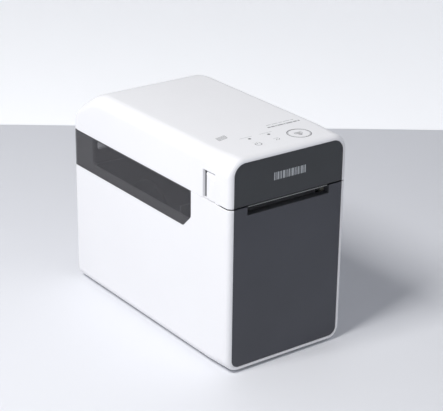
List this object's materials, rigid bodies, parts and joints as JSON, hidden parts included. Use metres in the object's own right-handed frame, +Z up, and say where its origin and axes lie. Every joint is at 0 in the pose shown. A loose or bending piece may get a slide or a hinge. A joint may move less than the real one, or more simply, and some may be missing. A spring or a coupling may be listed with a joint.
{
  "type": "thermal label printer",
  "caption": "Desktop thermal label printer: white case with hinged lid, dark front, smoked side windows, print mechanism, roll compartment and buttons.",
  "frame": {"origin": "on the surface that the printer stands on, under the middle of its width and depth", "axes": "+Y from the front panels to the rear, +X across the printer, +Z up"},
  "size_m": [0.11, 0.215, 0.172],
  "materials": {
    "case_white": "fine-textured moulded plastic, warm white",
    "panel_dark": "satin dark slate plastic",
    "window_smoke": "smoked clear plastic",
    "rubber": "matt black rubber",
    "label_stock": "blank matt film",
    "steel": "zinc-plated sheet steel",
    "bright_steel": "ground steel",
    "screw_steel": "nickel-plated steel",
    "board_green": "solder-masked circuit board",
    "board_parts": "moulded electronic parts",
    "socket_black": "black moulded plastic",
    "motor_body": "painted steel can",
    "bush_acetal": "acetal",
    "gear_acetal": "white acetal",
    "inner_grey": "moulded grey plastic",
    "bay_grey": "moulded light grey plastic",
    "guide_dark": "moulded dark grey plastic",
    "clear_pipe": "clear plastic light guide",
    "ceramic": "glazed ceramic",
    "heat_aluminium": "extruded aluminium",
    "brass_pinion": "machined brass"
  },
  "bodies": {
    "base": {"lower_case": "case_white", "base_plate": "steel", "rubber_feet": "rubber", "front_panel_lower": "panel_dark", "window_left": "window_smoke", "window_right": "window_smoke", "rating_plate": "label_stock", "base_screws": "screw_steel", "main_board": "board_green", "board_components": "board_parts", "board_screws": "screw_steel", "dc_jack": "socket_black", "usb_socket": "bright_steel", "serial_socket": "socket_black", "chassis": "steel", "chassis_screws": "screw_steel", "platen_bushes": "bush_acetal", "idler_axle": "bright_steel", "drive_motor": "motor_body", "motor_screws": "screw_steel", "catch_studs": "bright_steel", "media_guide": "inner_grey", "media_sensor": "board_parts", "roll_bay": "bay_grey", "hinge_pins": "bright_steel", "cover_switch": "board_parts", "rear_panel": "case_white"},
    "lid": {"lid_shell": "case_white", "front_panel_upper": "panel_dark", "lid_liner": "inner_grey", "liner_screws": "screw_steel", "panel_board": "board_green", "panel_components": "board_parts", "light_pipes": "clear_pipe", "tear_bar": "bright_steel", "head_pivot_shaft": "bright_steel", "latch_spring": "bright_steel"},
    "latch": {"latch_lever_left": "case_white", "latch_lever_right": "case_white", "latch_shaft": "bright_steel", "latch_hooks": "steel"},
    "print_head": {"thermal_head": "ceramic", "heat_sink": "heat_aluminium", "head_bracket": "steel", "head_springs": "bright_steel"},
    "platen": {"platen_roller": "rubber", "platen_shaft": "bright_steel", "platen_gear": "gear_acetal"},
    "idler": {"idler_gear": "gear_acetal"},
    "motor_rotor": {"motor_shaft": "bright_steel", "motor_pinion": "brass_pinion"},
    "guide_left": {"roll_guide_left": "guide_dark", "guide_rack_left": "guide_dark"},
    "guide_right": {"roll_guide_right": "guide_dark", "guide_rack_right": "guide_dark"},
    "centring_gear": {"guide_pinion": "gear_acetal"},
    "feed_key": {"feed_button": "case_white"},
    "power_key": {"power_button": "case_white"}
  },
  "joints": [
    {"name": "lid_hinge", "type": "hinge", "parent": "base", "child": "lid", "pos_m": [0, 0.1038, 0.138], "axis": [-1, 0, 0], "range_deg": [0, 90]},
    {"name": "latch_pivot", "type": "hinge", "parent": "lid", "child": "latch", "pos_m": [0, -0.0845, 0.1374], "axis": [-1, 0, 0], "range_deg": [0, 12], "stiffness_Nm_per_rad": 0.4, "springref_deg": -5.73},
    {"name": "head_pivot", "type": "hinge", "parent": "lid", "child": "print_head", "pos_m": [0, -0.068, 0.1454], "axis": [-1, 0, 0], "range_deg": [0, 2.5], "stiffness_Nm_per_rad": 12, "springref_deg": -3.44},
    {"name": "platen_spin", "type": "hinge", "parent": "base", "child": "platen", "pos_m": [0, -0.091, 0.1234], "axis": [1, 0, 0], "continuous": true},
    {"name": "idler_spin", "type": "hinge", "parent": "base", "child": "idler", "pos_m": [0, -0.08275, 0.10911], "axis": [1, 0, 0], "continuous": true},
    {"name": "motor_spin", "type": "hinge", "parent": "base", "child": "motor_rotor", "pos_m": [0, -0.08275, 0.09111], "axis": [1, 0, 0], "continuous": true},
    {"name": "guide_left_slide", "type": "slide", "parent": "base", "child": "guide_left", "axis": [1, 0, 0], "range_m": [0, 0.021]},
    {"name": "guide_right_slide", "type": "slide", "parent": "base", "child": "guide_right", "axis": [-1, 0, 0], "range_m": [0, 0.021]},
    {"name": "guide_gear_spin", "type": "hinge", "parent": "base", "child": "centring_gear", "pos_m": [0, 0.028, 0.008], "axis": [0, 0, 1], "range_deg": [0, 134]},
    {"name": "feed_press", "type": "slide", "parent": "lid", "child": "feed_key", "axis": [0, 0, -1], "range_m": [0, 0.001], "stiffness_N_per_m": 300, "springref_m": -0.001},
    {"name": "power_press", "type": "slide", "parent": "lid", "child": "power_key", "axis": [0, 0, -1], "range_m": [0, 0.001], "stiffness_N_per_m": 300, "springref_m": -0.001}
  ],
  "couplings": [
    {"joint": "idler_spin", "follows": "platen_spin", "ratio": -1.4444},
    {"joint": "motor_spin", "follows": "platen_spin", "ratio": 2.8889},
    {"joint": "guide_right_slide", "follows": "guide_left_slide", "ratio": 1},
    {"joint": "guide_gear_spin", "follows": "guide_left_slide", "rad_per_m": 111.11}
  ]
}
